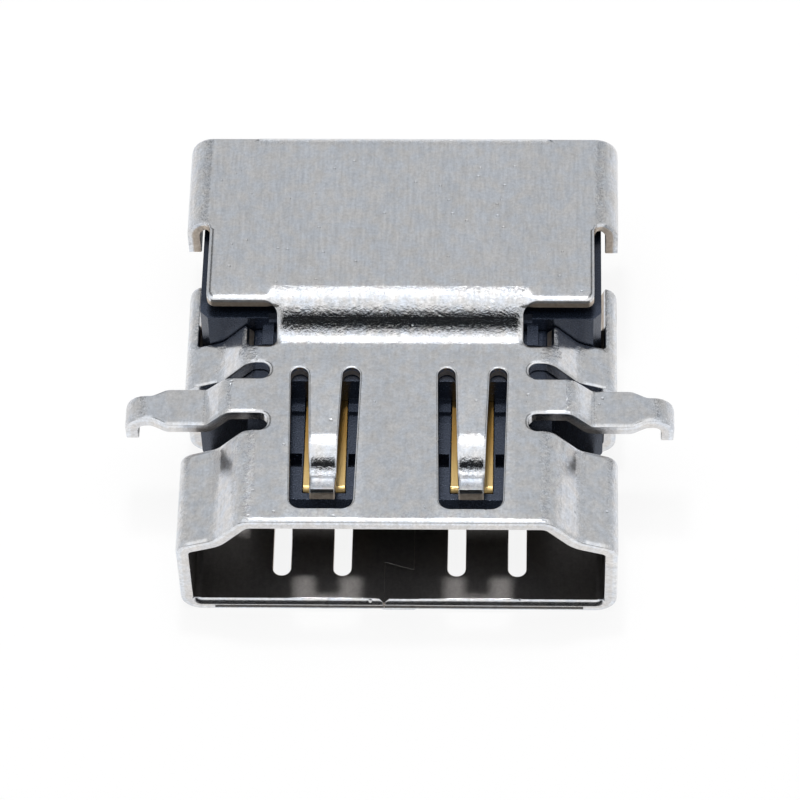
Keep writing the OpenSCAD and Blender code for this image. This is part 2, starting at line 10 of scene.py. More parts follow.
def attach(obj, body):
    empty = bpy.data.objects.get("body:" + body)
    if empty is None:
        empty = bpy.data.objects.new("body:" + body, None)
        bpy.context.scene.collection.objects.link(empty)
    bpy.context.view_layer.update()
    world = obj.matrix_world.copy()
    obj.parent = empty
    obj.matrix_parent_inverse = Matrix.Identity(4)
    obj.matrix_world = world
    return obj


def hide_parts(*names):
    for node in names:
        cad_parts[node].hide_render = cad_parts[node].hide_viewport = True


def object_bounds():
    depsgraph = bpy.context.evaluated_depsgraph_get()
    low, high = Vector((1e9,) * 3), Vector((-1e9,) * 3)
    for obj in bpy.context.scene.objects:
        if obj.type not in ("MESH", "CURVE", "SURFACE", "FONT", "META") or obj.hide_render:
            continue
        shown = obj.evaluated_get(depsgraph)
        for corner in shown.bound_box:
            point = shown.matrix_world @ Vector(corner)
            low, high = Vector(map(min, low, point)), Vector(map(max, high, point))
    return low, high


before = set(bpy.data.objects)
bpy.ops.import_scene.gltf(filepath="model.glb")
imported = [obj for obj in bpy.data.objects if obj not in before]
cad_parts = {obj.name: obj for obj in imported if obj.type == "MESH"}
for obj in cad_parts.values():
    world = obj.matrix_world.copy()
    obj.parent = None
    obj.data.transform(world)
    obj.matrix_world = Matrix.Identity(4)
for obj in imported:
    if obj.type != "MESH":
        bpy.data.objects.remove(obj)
CAD_LOW, CAD_HIGH = [list(corner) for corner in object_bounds()]

MM = 0.001

# Sizes of the shell in millimetres, depths counted from the mouth and heights from the underside
MOUTH_Y = CAD_LOW[1] / MM
SHEET_T = 0.45
MOUTH_W, MOUTH_H = 14.0, 4.55
MOUTH_FLAT_W = 9.96
SIDE_H = 3.05
STEEP_DEG, SHOULDER_DEG = 50.0, 20.0
FLAT_BEND_R, VALLEY_BEND_R, SHOULDER_BEND_R, FLOOR_BEND_R = 0.5, 1.0, 0.38, 0.53
TUBE_H = MOUTH_H + 2 * SHEET_T
TOP_MID = TUBE_H - SHEET_T / 2

FRONT_LEN = 3.73
WING_FRONT, WING_REAR = 4.43, 5.87
SIDE_OPEN = 6.52
TUBE_LEN = 8.2
ARM_END, ARM_H = 10.8, 3.85
FLOOR_EDGE_X = 6.7

WING_ROOT_X, WING_ROOT_R = 4.4, 0.3
WING_FALL_X, WING_FALL_RUN, WING_FALL = 5.8, 0.7, 0.75
WING_BEND_R, LEG_BEND_R = 0.4, 0.5
WING_W, WING_NECK_X, LEG_W = 1.48, 7.92, 0.97
LEG_SPAN, LEG_LEN = 18.74, 0.78
LEG_MID_X = LEG_SPAN / 2 - SHEET_T / 2
WING_MID = TOP_MID - WING_FALL
BOARD_Z = WING_MID - SHEET_T / 2

TOP_FINGER_X = 2.5
WINDOW_FRONT, WINDOW_REAR = 0.55, 6.3
WINDOW_FRONT_W, WINDOW_REAR_W, WINDOW_CORNER_R = 2.14, 2.38, 0.4
FINGER_ROOT_W, FINGER_TIP_W = 1.17, 0.85
FINGER_FLAT, FINGER_DIP, FINGER_TIP = 2.675, 0.59, 0.6
FINGER_DEG, FINGER_TIP_DEG = 45.0, 22.0
FINGER_BEND_R, FINGER_TROUGH_R = 1.25, 0.62

FLOOR_FINGER_X, FLOOR_FINGER_W = 3.0, 1.46
FLOOR_SLOT_W, FLOOR_SLOT_FRONT, FLOOR_SLOT_REAR = 0.62, 1.1, 5.2
FLOOR_FINGER_FLAT, FLOOR_FINGER_RISE, FLOOR_FINGER_TIP = 1.305, 0.59, 0.6

SEAM_X, SEAM_FRONT, SEAM_NECK, SEAM_FLARE, SEAM_GAP = 0.5, 1.65, 1.4, 0.3, 0.0015

COVER_TOP = TUBE_H + 1.02
COVER_MID = COVER_TOP - SHEET_T / 2
COVER_FRONT, COVER_REAR = 8.42, 15.42
COVER_FRONT_W, COVER_CORNER_R = 13.26, 0.3
FLANGE_FRONT, FLANGE_H, FLANGE_BEND_R, FLANGE_ROOT_R = 11.74, 1.84, 0.6, 0.33
FLANGE_SPAN = 14.96
FLANGE_MID_X = FLANGE_SPAN / 2 - SHEET_T / 2
FLAP_W, FLAP_H, FLAP_BEND_R, FLAP_REACH, FLAP_SLIT = 10.0, 1.5, 0.37, 0.28, 0.002
FLAP_MID_Y = COVER_REAR + FLAP_REACH - SHEET_T / 2

BRIDGE_HALF, BRIDGE_DEG, BRIDGE_UPPER_SHARE = 4.21, 59.0, 0.58
RELIEF_X, RELIEF_Y, RELIEF_R = 5.18, 7.26, 0.28


# Lines and outlines

def heading_of(v):
    return math.atan2(v[1], v[0])


class BentLine:
    """A line of straight stretches and arcs through points, each inner point rounded by its radius.

    Along it, the heading turns by a constant curvature k in each stretch. A stretch from p at heading h
    reaches p + t sinc(k t / 2) (cos(h + k t / 2), sin(h + k t / 2)) after the length t.
    """

    def __init__(self, points, radii):
        points = [np.array(p, float) for p in points]
        heads = [heading_of(b - a) for a, b in zip(points, points[1:])]
        turns = [(b - a + math.pi) % (2 * math.pi) - math.pi for a, b in zip(heads, heads[1:])]
        trims = [0.0] + [r * math.tan(abs(t) / 2) for r, t in zip(radii, turns)] + [0.0]
        lengths, bends = [], []
        for i, (a, b) in enumerate(zip(points, points[1:])):
            lengths.append(np.linalg.norm(b - a) - trims[i] - trims[i + 1])
            bends.append(0.0)
            if i < len(turns):
                lengths.append(radii[i] * abs(turns[i]))
                bends.append(math.copysign(1 / radii[i], turns[i]))
        self.length = np.array(lengths)
        self.bend = np.array(bends)
        self.start = np.concatenate([[0.0], np.cumsum(self.length)[:-1]])
        self.total = float(self.length.sum())
        self.head = heads[0] + np.concatenate([[0.0], np.cumsum(self.length * self.bend)[:-1]])
        self.origin = [points[0]]
        for t, k, h in zip(lengths, bends, self.head):
            step = t * np.sinc(k * t / (2 * math.pi))
            half = h + k * t / 2
            self.origin.append(self.origin[-1] + step * np.array([math.cos(half), math.sin(half)]))
        self.origin = np.array(self.origin)

    def at(self, s):
        """Place, left-hand normal and curvature after the length s."""
        s = np.asarray(s, float)
        i = np.clip(np.searchsorted(self.start, s, side="right") - 1, 0, len(self.start) - 1)
        t = s - self.start[i]
        k = self.bend[i]
        half = self.head[i] + k * t / 2
        reach = t * np.sinc(k * t / (2 * math.pi))
        end = self.head[i] + k * t
        place = (self.origin[i, 0] + reach * np.cos(half), self.origin[i, 1] + reach * np.sin(half))
        return place, (-np.sin(end), np.cos(end)), k

    def where(self, axis, value, after=0.0):
        """Length at which one coordinate reaches a value, at or past the length after."""
        s = np.linspace(after, self.total, 20001)
        p = self.at(s)[0][axis] - value
        i = int(np.argmax(p[:-1] * p[1:] <= 0))
        return float(s[i] + (s[i + 1] - s[i]) * p[i] / (p[i] - p[i + 1] + 1e-12))

    def bent_stretches(self):
        """First and last length of each arc."""
        return [(a, a + n) for a, n, k in zip(self.start, self.length, self.bend) if k]


def grown(points, d):
    """Sharp corners of a closed counter-clockwise outline moved outwards by d."""
    points = np.array(points, float)
    ahead = np.roll(points, -1, 0) - points
    ahead /= np.linalg.norm(ahead, axis=1)[:, None]
    n2 = np.stack([-ahead[:, 1], ahead[:, 0]], 1)
    n1 = np.roll(n2, 1, 0)
    return points - d * (n1 + n2) / (1 + (n1 * n2).sum(1))[:, None]


ARC_STEP_DEG = 11
LEAST_CORNER_R = 1e-4


def edge_samples(points, radii, inset, step, counts=None):
    """Samples round a closed outline whose corners are rounded, moved by inset to its left.

    A left turn's radius shrinks by the inset and a right turn's grows. Every inset of one outline has the
    same number of samples, so its rows join into strips.
    """
    base = np.array(points, float)
    moved = grown(base, -inset)
    n = len(moved)
    ahead = np.roll(moved, -1, 0) - moved
    heads = np.arctan2(ahead[:, 1], ahead[:, 0])
    turns = (heads - np.roll(heads, 1) + np.pi) % (2 * np.pi) - np.pi
    radii = np.maximum(np.array(radii, float) - inset * np.sign(turns), LEAST_CORNER_R)
    trims = radii * np.tan(np.abs(turns) / 2)
    if counts is None:
        free = np.linalg.norm(ahead, axis=1) - trims - np.roll(trims, -1)
        counts = [(max(2, math.ceil(abs(t) / math.radians(ARC_STEP_DEG))), max(1, math.ceil(f / step)))
                  for t, f in zip(turns, free)]
    rows = []
    for i in range(n):
        arc, straight = counts[i]
        before = heads[i - 1]
        turn = turns[i]
        side = math.copysign(1, turn)
        start = moved[i] - trims[i] * np.array([math.cos(before), math.sin(before)])
        middle = start + side * radii[i] * np.array([-math.sin(before), math.cos(before)])
        angle = before + turn * np.linspace(0, 1, arc + 1)
        around = middle - side * radii[i] * np.stack([-np.sin(angle), np.cos(angle)], 1)
        nxt = (i + 1) % n
        last = moved[nxt] - trims[nxt] * np.array([math.cos(heads[i]), math.sin(heads[i])])
        f = np.linspace(0, 1, straight + 1)[1:-1, None]
        rows += [around, around[-1] + f * (last - around[-1])]
    return np.concatenate(rows), counts


# The folds of the shell

def mouth_half_line():
    """Right half of the mouth's mid sheet, from the middle of the top to the far side of the floor."""
    flat = np.array([MOUTH_FLAT_W / 2, SHEET_T + MOUTH_H])
    side = np.array([MOUTH_W / 2, SHEET_T + SIDE_H])
    steep, shoulder = math.radians(STEEP_DEG), math.radians(SHOULDER_DEG)
    run = ((side[0] - flat[0]) * math.sin(shoulder) - (flat[1] - side[1]) * math.cos(shoulder)) \
        / math.sin(shoulder - steep)
    valley = flat + run * np.array([math.cos(steep), -math.sin(steep)])
    right = [[MOUTH_W / 2, SHEET_T], side, valley, flat]
    ring = grown(right + [[-p[0], p[1]] for p in reversed(right)], SHEET_T / 2)
    corners = [ring[3], ring[2], ring[1], ring[0]]
    return BentLine([[0, TOP_MID], *corners, [-MOUTH_W / 2, SHEET_T / 2]],
                    [FLAT_BEND_R, VALLEY_BEND_R, SHOULDER_BEND_R, FLOOR_BEND_R])


def finger_line(flat, dip, tip):
    """A finger's length and drop: flat, then bent into a dip, with its tip turned back out of it."""
    deg, tip_deg = math.radians(FINGER_DEG), math.radians(FINGER_TIP_DEG)
    straight = (dip - (FINGER_BEND_R + FINGER_TROUGH_R) * (1 - math.cos(deg))) / math.sin(deg)
    first = FINGER_BEND_R * math.tan(deg / 2)
    second = FINGER_TROUGH_R * math.tan((deg + tip_deg) / 2)
    bend = np.array([flat + first, 0.0])
    low = bend + (first + straight + second) * np.array([math.cos(deg), math.sin(deg)])
    far = low + (second + tip) * np.array([math.cos(tip_deg), -math.sin(tip_deg)])
    return BentLine([[0, 0], bend, low, far], [FINGER_BEND_R, FINGER_TROUGH_R])


MOUTH_LINE = mouth_half_line()
WING_LINE = BentLine([[0, TOP_MID], [WING_FALL_X, TOP_MID], [WING_FALL_X + WING_FALL_RUN, WING_MID],
                      [LEG_MID_X, WING_MID], [LEG_MID_X, BOARD_Z - LEG_LEN]],
                     [WING_BEND_R, WING_BEND_R, LEG_BEND_R])
TOP_FINGER_LINE = finger_line(FINGER_FLAT, FINGER_DIP, FINGER_TIP)
FLOOR_FINGER_LINE = finger_line(FLOOR_FINGER_FLAT, FLOOR_FINGER_RISE, FLOOR_FINGER_TIP)
FLANGE_LINE = BentLine([[0, 0], [FLANGE_MID_X, 0], [FLANGE_MID_X, SHEET_T / 2 - FLANGE_H]], [FLANGE_BEND_R])

BRIDGE_R_SUM = (COVER_TOP - TUBE_H) / (1 - math.cos(math.radians(BRIDGE_DEG)))
BRIDGE_UPPER_R = BRIDGE_UPPER_SHARE * BRIDGE_R_SUM - SHEET_T / 2
BRIDGE_LOWER_R = (1 - BRIDGE_UPPER_SHARE) * BRIDGE_R_SUM + SHEET_T / 2
BRIDGE_END_Y = RELIEF_Y + BRIDGE_R_SUM * math.sin(math.radians(BRIDGE_DEG))
HALF_TAN = math.tan(math.radians(BRIDGE_DEG / 2))
REAR_LINE = BentLine([[0, TOP_MID], [RELIEF_Y + BRIDGE_LOWER_R * HALF_TAN, TOP_MID],
                      [BRIDGE_END_Y - BRIDGE_UPPER_R * HALF_TAN, COVER_MID], [FLAP_MID_Y, COVER_MID],
                      [FLAP_MID_Y, COVER_TOP - FLAP_H]],
                     [BRIDGE_LOWER_R, BRIDGE_UPPER_R, FLAP_BEND_R])
# Extra length that the bridge's two bends take up, so a depth on the cover lies that much further on
COVER_EXTRA = REAR_LINE.where(0, BRIDGE_END_Y + 1) - BRIDGE_END_Y - 1

# Places on the flat blank, where s runs across it from the middle and d along it from the mouth
FLOOR_TURN_S = float(MOUTH_LINE.start[-1])
FLOOR_TURN_X = float(MOUTH_LINE.at(FLOOR_TURN_S)[0][0])
ARM_TOP_S = MOUTH_LINE.where(1, ARM_H, MOUTH_LINE.start[6])
WING_LEVEL_S = WING_LINE.where(0, WING_NECK_X) - WING_NECK_X
FLANGE_END_S = FLANGE_LINE.total
TOP_FINGER_END = WINDOW_REAR - TOP_FINGER_LINE.total
FLOOR_FINGER_END = FLOOR_SLOT_FRONT + FLOOR_FINGER_LINE.total
BLEND_W = 0.45
# Room that the tests for a finger, wing or cover take beyond it, in the cut-out round it
ROOM, COVER_ROOM, FLAP_ROOM = 0.2, 0.3, 0.03


def floor_s(x):
    """Place on the blank, to the right, of a place on the floor."""
    return FLOOR_TURN_S + FLOOR_TURN_X - x


def smooth_step(v, low, high):
    v = np.clip((v - low) / (high - low), 0, 1)
    return v * v * (3 - 2 * v)


def fold(s, d):
    """Mid sheet of the folded shell, its outward normal and its bend at the places s, d of the blank.

    The tube follows the mouth's line across and stays straight in depth. The wings follow their own line
    from the top. Fingers, bridge and flap follow a line in depth. The flanges follow a line across the cover.
    """
    side = np.where(s < 0, -1.0, 1.0)
    across = np.abs(s)
    (x, z), (nx, nz), bend = MOUTH_LINE.at(across)
    y = d.copy()
    ny = np.zeros_like(d)

    wing = (across > WING_ROOT_X) & (across < WING_LINE.total + ROOM) \
        & (d > WING_FRONT - ROOM) & (d < WING_REAR + ROOM)
    (wx, wz), (wnx, wnz), wk = WING_LINE.at(across)
    x, z = np.where(wing, wx, x), np.where(wing, wz, z)
    nx, nz = np.where(wing, wnx, nx), np.where(wing, wnz, nz)
    bend = np.where(wing, wk, bend)

    finger = (np.abs(across - TOP_FINGER_X) < FINGER_ROOT_W / 2 + ROOM) \
        & (d < WINDOW_REAR) & (d > TOP_FINGER_END - ROOM)
    (fy, fz), (fny, fnz), fbend = TOP_FINGER_LINE.at(WINDOW_REAR - d)
    y, z = np.where(finger, WINDOW_REAR - fy, y), np.where(finger, TOP_MID - fz, z)
    ny, nz = np.where(finger, fny, ny), np.where(finger, fnz, nz)
    bend = np.where(finger, -fbend, bend)

    floor_x = FLOOR_TURN_X - (across - FLOOR_TURN_S)
    spring = (np.abs(floor_x - FLOOR_FINGER_X) < FLOOR_FINGER_W / 2 + ROOM) & (across > FLOOR_TURN_S) \
        & (d > FLOOR_SLOT_FRONT) & (d < FLOOR_FINGER_END + ROOM)
    (gy, gz), (gny, gnz), gk = FLOOR_FINGER_LINE.at(d - FLOOR_SLOT_FRONT)
    y, z = np.where(spring, FLOOR_SLOT_FRONT + gy, y), np.where(spring, SHEET_T / 2 + gz, z)
    ny, nz = np.where(spring, -gny, ny), np.where(spring, -gnz, nz)
    bend = np.where(spring, -gk, bend)

    rear = ((d > RELIEF_Y) & (across < BRIDGE_HALF + BLEND_W)) | (d > ARM_END + ROOM) \
        | ((d > TUBE_LEN + ROOM) & (across < COVER_FRONT_W / 2 + ROOM / 2))
    (ry, rz), (rny, rnz), rk = REAR_LINE.at(d)
    (cx, cz), (cnx, cnz), ck = FLANGE_LINE.at(across)
    on_cover = d > COVER_FRONT + COVER_EXTRA - COVER_ROOM
    front_share = 1 - on_cover * smooth_step(across, BRIDGE_HALF, BRIDGE_HALF + BLEND_W)
    on_flap = across < FLAP_W / 2 + FLAP_ROOM
    curved = np.where(d < BRIDGE_END_Y + COVER_EXTRA, front_share, on_flap * 1.0)
    flat_y = d - COVER_EXTRA
    back_y = flat_y + curved * (ry - flat_y)
    back_z = COVER_MID + curved * (rz - COVER_MID) + cz
    length = np.hypot(curved * rny, 1 - curved + curved * rnz)
    x, y, z = np.where(rear, cx, x), np.where(rear, back_y, y), np.where(rear, back_z, z)
    nx, ny = np.where(rear, cnx, nx), np.where(rear, curved * rny / length, ny)
    nz = np.where(rear, cnz * (1 - curved + curved * rnz) / length, nz)
    bend = np.where(rear, np.where(np.abs(rk * curved) > np.abs(ck), rk * curved, ck), bend)
    return np.stack([side * x, y, z], 1), np.stack([side * nx, ny, nz], 1), bend


# The blank's outlines, all with the sheet on their left, as corners with their radii

def mirrored(half):
    """The corners of a right half, as those of the left half that follow them."""
    return [([-p[0], p[1]], r) for p, r in reversed(half)]


def seam_edge(half):
    """Edge of the blank along the floor's seam, from the mouth back, on the right or the left."""
    gap = half * SEAM_GAP / 2
    neck_end = SEAM_FRONT + SEAM_NECK
    route = [[-SEAM_X + gap, 0], [-SEAM_X + gap, SEAM_FRONT - gap],
             [SEAM_X + gap, SEAM_FRONT - SEAM_FLARE - gap], [SEAM_X + gap, neck_end + SEAM_FLARE + gap],
             [-SEAM_X + gap, neck_end + gap], [-SEAM_X + gap, ARM_END]]
    return [[half * floor_s(half * x), d] for x, d in route]


def outer_outline():
    """Mouth edge, seam, rear edge of floor and side walls, relief, bridge, cover, flange and flap."""
    cover_front = COVER_FRONT + COVER_EXTRA
    cover_rear = COVER_REAR + COVER_EXTRA
    flap = FLAP_W / 2
    slit = flap + FLAP_SLIT
    slit_end = REAR_LINE.start[5] - FLAP_SLIT
    slit_r = FLAP_SLIT / 5
    half = [([ARM_TOP_S, ARM_END], 0.05), ([ARM_TOP_S, TUBE_LEN], 0.1), ([RELIEF_X, TUBE_LEN], 0.12),
            ([RELIEF_X, RELIEF_Y], RELIEF_R), ([BRIDGE_HALF, RELIEF_Y], RELIEF_R),
            ([BRIDGE_HALF, cover_front], 0.25), ([COVER_FRONT_W / 2, cover_front], COVER_CORNER_R),
            ([COVER_FRONT_W / 2, FLANGE_FRONT + COVER_EXTRA], FLANGE_ROOT_R),
            ([FLANGE_END_S, FLANGE_FRONT + COVER_EXTRA], 0.12), ([FLANGE_END_S, cover_rear], 0.12),
            ([slit, cover_rear], slit_r), ([slit, slit_end], slit_r), ([flap, slit_end], slit_r),
            ([flap, REAR_LINE.total], 0.15)]
    right = [(p, 0.02) for p in seam_edge(1)] + half
    left = mirrored(half) + [(p, 0.02) for p in reversed(seam_edge(-1))]
    return [p for p, r in right + left], [r for p, r in right + left]


def top_window(side):
    """Window in the top with its finger left standing from the rear."""
    slot_r = (WINDOW_REAR_W - FINGER_ROOT_W) / 4
    half = [([WINDOW_FRONT_W / 2, WINDOW_FRONT], WINDOW_CORNER_R), ([WINDOW_REAR_W / 2, WINDOW_REAR], slot_r),
            ([FINGER_ROOT_W / 2, WINDOW_REAR], slot_r), ([FINGER_TIP_W / 2, TOP_FINGER_END], 0.06)]
    loop = (half + mirrored(half))[::-1]
    return [[side * TOP_FINGER_X + p[0], p[1]] for p, r in loop], [r for p, r in loop]


def floor_window(side):
    """Window in the floor with its finger left standing from the front."""
    slot_r = FLOOR_SLOT_W / 2 * 0.97
    wide = FLOOR_FINGER_W / 2 + FLOOR_SLOT_W
    half = [([FLOOR_FINGER_W / 2, FLOOR_FINGER_END], 0.08), ([FLOOR_FINGER_W / 2, FLOOR_SLOT_FRONT], slot_r),
            ([wide, FLOOR_SLOT_FRONT], slot_r), ([wide, FLOOR_SLOT_REAR], slot_r)]
    loop = (half + mirrored(half))[::-1]
    return [[side * floor_s(FLOOR_FINGER_X) + p[0], p[1]] for p, r in loop], [r for p, r in loop]


def wing_window(side):
    """Opening in the side of the tube with the wing and its leg left standing in it."""
    middle = (WING_FRONT + WING_REAR) / 2
    root, wide, leg = (WING_REAR - WING_FRONT) / 2, WING_W / 2, LEG_W / 2
    neck = WING_NECK_X + WING_LEVEL_S
    fall = WING_LINE.where(0, WING_FALL_X + WING_FALL_RUN)
    edge = [([WING_ROOT_X, root], WING_ROOT_R), ([WING_FALL_X, root], 2 * root), ([fall, wide], 2 * root),
            ([neck, wide], leg), ([neck + WING_W - LEG_W, leg], leg), ([WING_LINE.total, leg], 0.1)]
    loop = [([WING_ROOT_X, FRONT_LEN], WING_ROOT_R), ([floor_s(FLOOR_EDGE_X), FRONT_LEN], 0.3),
            ([floor_s(FLOOR_EDGE_X), SIDE_OPEN], 0.3), ([WING_ROOT_X, SIDE_OPEN], WING_ROOT_R)]
    loop += [([p[0], middle + p[1]], r) for p, r in edge]
    loop += [([p[0], middle - p[1]], r) for p, r in reversed(edge)]
    if side > 0:
        loop.reverse()
    return [[side * p[0], p[1]] for p, r in loop], [r for p, r in loop]


BLANK_LOOPS = [outer_outline()] + [window(side) for window in (top_window, floor_window, wing_window)
                                   for side in (1, -1)]

# Cut edge of the sheet: a shallow roll off the outer face, a crisp break, the cut, then a narrow bevel into
# the inner face that is wider on the mouth's floor, where the plug is led in
EDGE_ROLL, EDGE_BREAK, EDGE_BEVEL, LEAD_IN = 0.22, 0.012, 0.02, 0.2
# Rows of the roll: inset, depth under the face, lean of the normal in degrees
ROLL_ROWS = [(EDGE_ROLL, 0.0, 0), (0.15, 0.004, 6), (0.09, 0.013, 12), (0.04, 0.026, 20),
             (EDGE_BREAK, 0.042, 34)]
CUT_START, CUT_HEIGHT = 0.06, -0.01
# Rows of the bevel: share of its width, lean of the normal in degrees
BEVEL_ROWS = [(0, 90), (0.12, 130), (0.58, 144), (0.88, 158), (1, 180)]
# Share of the full roll, and of the bare metal in the cut, for each loop of the blank
ROLL_SHARES = [1.0, 0.45, 0.45, 0.45, 0.45, 0.8, 0.8]
BARE_SHARES = [1, 1, 1, 1, 1, 0.3, 0.3]
MOUTH_BARE = 0.3
EDGE_STEP = 0.09
LATTICE_GAP = 0.045
LOOK_IN = 0.002
UV_SPAN = 20


def lattice_lines(bent, end, fine=0.07, coarse=0.45):
    """Places along one direction of the blank: close together in the bends, far apart elsewhere."""
    lines = [np.arange(-end, end + coarse, coarse)]
    lines += [np.linspace(a, b, max(3, int((b - a) / fine))) for a, b in bent]
    lines = np.unique(np.round(np.concatenate(lines), 3))
    return lines[np.concatenate([[True], np.diff(lines) > fine / 2])]


def inside(points, loops):
    """Even-odd test of places against closed loops of samples."""
    odd = np.zeros(len(points), bool)
    for loop in loops:
        nxt = np.roll(loop, -1, 0)
        for part in np.array_split(np.arange(len(points)), max(1, len(points) // 4000)):
            px, py = points[part, 0][:, None], points[part, 1][:, None]
            over = (loop[:, 1] > py) != (nxt[:, 1] > py)
            with np.errstate(divide="ignore", invalid="ignore"):
                cross = (nxt[:, 0] - loop[:, 0]) * (py - loop[:, 1]) / (nxt[:, 1] - loop[:, 1]) + loop[:, 0]
            odd[part] ^= (np.sum(over & (px < cross), axis=1) % 2).astype(bool)
    return odd


def clear_of(points, samples, gap):
    """True where a place is further than gap from every sample."""
    far = np.ones(len(points), bool)
    for part in np.array_split(np.arange(len(points)), max(1, len(points) // 1000)):
        d2 = ((points[part][:, None, :] - samples[None, :, :]) ** 2).sum(2)
        far[part] = d2.min(1) > gap * gap
    return far


def fill(loops, lattice):
    """Triangles between loops of samples, through the lattice places that lie inside them."""
    samples = np.concatenate(loops)
    kept = lattice[inside(lattice, loops)]
    kept = kept[clear_of(kept, samples, LATTICE_GAP)]
    places = np.concatenate([samples, kept])
    edges, first = [], 0
    for loop in loops:
        ring = np.arange(first, first + len(loop))
        edges += np.stack([ring, np.roll(ring, -1)], 1).tolist()
        first += len(loop)
    _, _, faces, origin, _, _ = delaunay_2d_cdt([Vector(p) for p in places], edges, [], 0, 1e-7)
    back = np.array([o[0] for o in origin])
    tris = back[np.array(faces)]
    centre = places[tris].mean(1)
    return kept, tris[inside(centre, loops)]


def blank_lattice():
    """Places all over the blank, close together across its bends and beside the bridge."""
    s_bent = [(BRIDGE_HALF - 0.1, BRIDGE_HALF + 0.5)]
    for line in (MOUTH_LINE, WING_LINE, FLANGE_LINE):
        s_bent += line.bent_stretches()
    s_bent += [(-b, -a) for a, b in s_bent]
    d_bent = [(WINDOW_REAR - b, WINDOW_REAR - a) for a, b in TOP_FINGER_LINE.bent_stretches()]
    d_bent += [(FLOOR_SLOT_FRONT + a, FLOOR_SLOT_FRONT + b) for a, b in FLOOR_FINGER_LINE.bent_stretches()]
    d_bent += REAR_LINE.bent_stretches()
    s = lattice_lines(s_bent, floor_s(-SEAM_X))
    d = lattice_lines(d_bent, REAR_LINE.total)
    return np.stack(np.meshgrid(s, d[d > 0], indexing="ij"), -1).reshape(-1, 2)


def roll_share(base, loop):
    """Width of the roll at each edge sample, as a share of the full roll of the outer outline.

    Narrow in the windows, wider at the cover's front, and almost none where two edges of the blank meet.
    """
    share = np.array(ROLL_SHARES)[loop]
    across, d = np.abs(base[:, 0]), base[:, 1]
    outer = loop == 0
    cover_front = outer & (d > TUBE_LEN + 0.1) & (d < FLANGE_FRONT) & (across < COVER_FRONT_W / 2)
    seam = outer & (across > floor_s(SEAM_X) - 0.05) & (d < ARM_END - 0.05)
    flange_front = outer & (across > COVER_FRONT_W / 2) & (np.abs(d - FLANGE_FRONT - COVER_EXTRA) < 0.4)
    slit = outer & (np.abs(across - FLAP_W / 2) < 0.02) \
        & (np.abs(d - COVER_REAR - COVER_EXTRA + 0.1) < 0.3)
    share = np.where(cover_front, 1.2, np.where(flange_front, 0.35, share))
    return np.where(seam | slit, 0.04, share)


def edge_rows(led_in, share):
    """Inset, height and lean of the normal, in radians, for each row of the cut edge.

    The roll is given by its rows. The bevel is a slope of 45 degrees: inset b f, height b (1 - f).
    """
    b = EDGE_BEVEL * np.minimum(share * 4, 1) + (LEAD_IN - EDGE_BEVEL) * led_in
    top, none = SHEET_T / 2, 0 * share
    rows = [(e * share, top - drop * share, a) for e, drop, a in ROLL_ROWS]
    rows += [(none, top - CUT_START * share, 89), (none, none + CUT_HEIGHT, 90)]
    rows += [(b * f, b * (1 - f) - top, a) for f, a in BEVEL_ROWS]
    return [(e, h, math.radians(a)) for e, h, a in rows]


